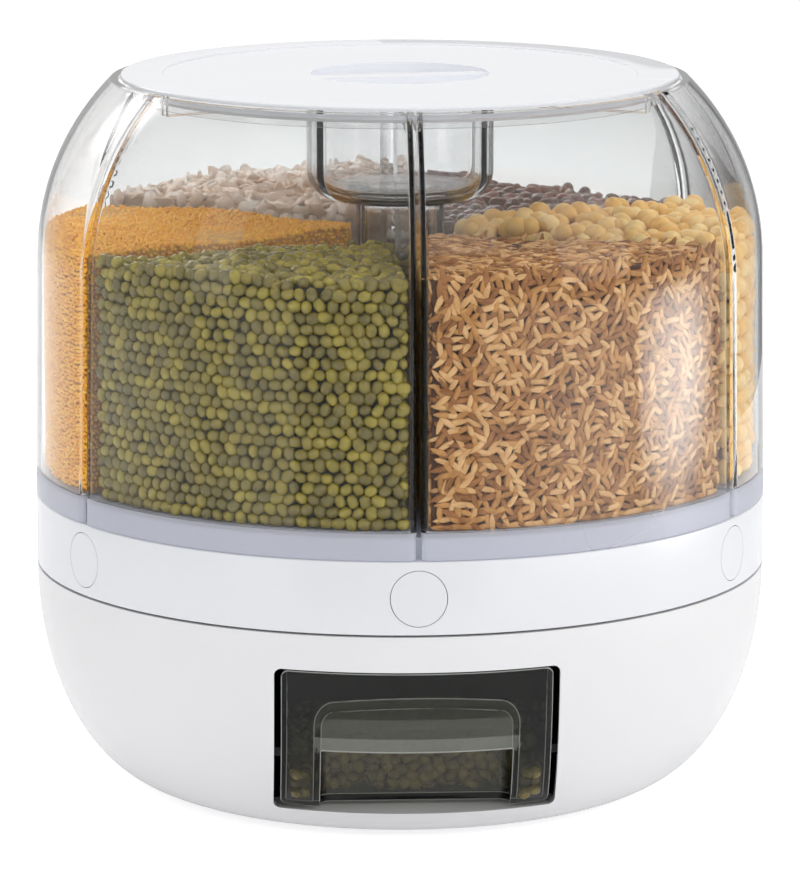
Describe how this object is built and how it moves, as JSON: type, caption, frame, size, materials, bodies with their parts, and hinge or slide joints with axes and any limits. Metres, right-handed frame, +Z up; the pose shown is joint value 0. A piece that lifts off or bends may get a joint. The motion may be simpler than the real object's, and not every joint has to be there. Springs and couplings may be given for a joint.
{
  "type": "rotating food dispenser",
  "caption": "Round dry-food dispenser: clear wedge bins on a turntable, gate buttons round its ring, a lift-off lid and a pull-out drawer in a bowl-shaped base.",
  "frame": {"origin": "centre of the footprint, on the floor", "axes": "+Z up, the drawer faces -Y"},
  "size_m": [0.31, 0.31, 0.302],
  "materials": {
    "white_plastic": "smooth satin white ABS",
    "inner_plastic": "natural acetal",
    "clear_plastic": "clear polystyrene",
    "lid_plastic": "milky white gloss",
    "smoke_plastic": "smoke-grey clear plastic",
    "black_plastic": "black moulded",
    "steel": "plated",
    "rubber": "matt",
    "silicone": "milky silicone"
  },
  "bodies": {
    "base": {"base_shell": "white_plastic", "bottom_cover": "white_plastic", "cover_screws": "steel", "rubber_foot_1": "rubber", "rubber_foot_2": "rubber", "rubber_foot_3": "rubber", "rubber_foot_4": "rubber", "deck_plate": "inner_plastic", "deck_screws": "steel", "drawer_sleeve": "black_plastic", "sleeve_screws": "steel", "spindle": "steel", "spindle_washer": "steel", "spindle_screw": "steel"},
    "ball_race": {"ball_cage": "inner_plastic", "bearing_balls": "steel"},
    "turntable": {"turntable_ring": "white_plastic", "turntable_tray": "white_plastic", "gate_plate": "inner_plastic", "gate_screws": "steel", "hub_bush": "inner_plastic", "centre_column": "clear_plastic", "grain_bin_1": "clear_plastic", "grain_bin_2": "clear_plastic", "grain_bin_3": "clear_plastic", "grain_bin_4": "clear_plastic", "grain_bin_5": "clear_plastic", "grain_bin_6": "clear_plastic", "gate_spring_1": "steel", "gate_spring_2": "steel", "gate_spring_3": "steel", "gate_spring_4": "steel", "gate_spring_5": "steel", "gate_spring_6": "steel"},
    "lid": {"lid_cover": "lid_plastic", "lid_skirt": "clear_plastic", "lid_seal": "silicone"},
    "drawer": {"drawer_box": "smoke_plastic"},
    "button_1": {"push_button_1": "white_plastic", "gate_slider_1": "inner_plastic"},
    "button_2": {"push_button_2": "white_plastic", "gate_slider_2": "inner_plastic"},
    "button_3": {"push_button_3": "white_plastic", "gate_slider_3": "inner_plastic"},
    "button_4": {"push_button_4": "white_plastic", "gate_slider_4": "inner_plastic"},
    "button_5": {"push_button_5": "white_plastic", "gate_slider_5": "inner_plastic"},
    "button_6": {"push_button_6": "white_plastic", "gate_slider_6": "inner_plastic"}
  },
  "joints": [
    {"name": "turntable_spin", "type": "hinge", "parent": "base", "child": "turntable", "pos_m": [0, 0, 0.095], "axis": [0, 0, 1], "continuous": true},
    {"name": "race_spin", "type": "hinge", "parent": "base", "child": "ball_race", "pos_m": [0, 0, 0.095], "axis": [0, 0, 1], "continuous": true},
    {"name": "button_1_press", "type": "slide", "parent": "turntable", "child": "button_1", "axis": [0, 1, 0], "range_m": [0, 0.011], "stiffness_N_per_m": 300, "springref_m": -0.008, "deforming": ["gate_spring_1"]},
    {"name": "button_2_press", "type": "slide", "parent": "turntable", "child": "button_2", "axis": [-0.866, 0.5, 0], "range_m": [0, 0.011], "stiffness_N_per_m": 300, "springref_m": -0.008, "deforming": ["gate_spring_2"]},
    {"name": "button_3_press", "type": "slide", "parent": "turntable", "child": "button_3", "axis": [-0.866, -0.5, 0], "range_m": [0, 0.011], "stiffness_N_per_m": 300, "springref_m": -0.008, "deforming": ["gate_spring_3"]},
    {"name": "button_4_press", "type": "slide", "parent": "turntable", "child": "button_4", "axis": [0, -1, 0], "range_m": [0, 0.011], "stiffness_N_per_m": 300, "springref_m": -0.008, "deforming": ["gate_spring_4"]},
    {"name": "button_5_press", "type": "slide", "parent": "turntable", "child": "button_5", "axis": [0.866, -0.5, 0], "range_m": [0, 0.011], "stiffness_N_per_m": 300, "springref_m": -0.008, "deforming": ["gate_spring_5"]},
    {"name": "button_6_press", "type": "slide", "parent": "turntable", "child": "button_6", "axis": [0.866, 0.5, 0], "range_m": [0, 0.011], "stiffness_N_per_m": 300, "springref_m": -0.008, "deforming": ["gate_spring_6"]},
    {"name": "lid_lift", "type": "slide", "parent": "turntable", "child": "lid", "axis": [0, 0, 1], "range_m": [0, 0.1]},
    {"name": "drawer_slide", "type": "slide", "parent": "base", "child": "drawer", "axis": [0, -1, 0], "range_m": [0, 0.1]}
  ],
  "couplings": [
    {"joint": "race_spin", "follows": "turntable_spin", "ratio": 0.5}
  ]
}
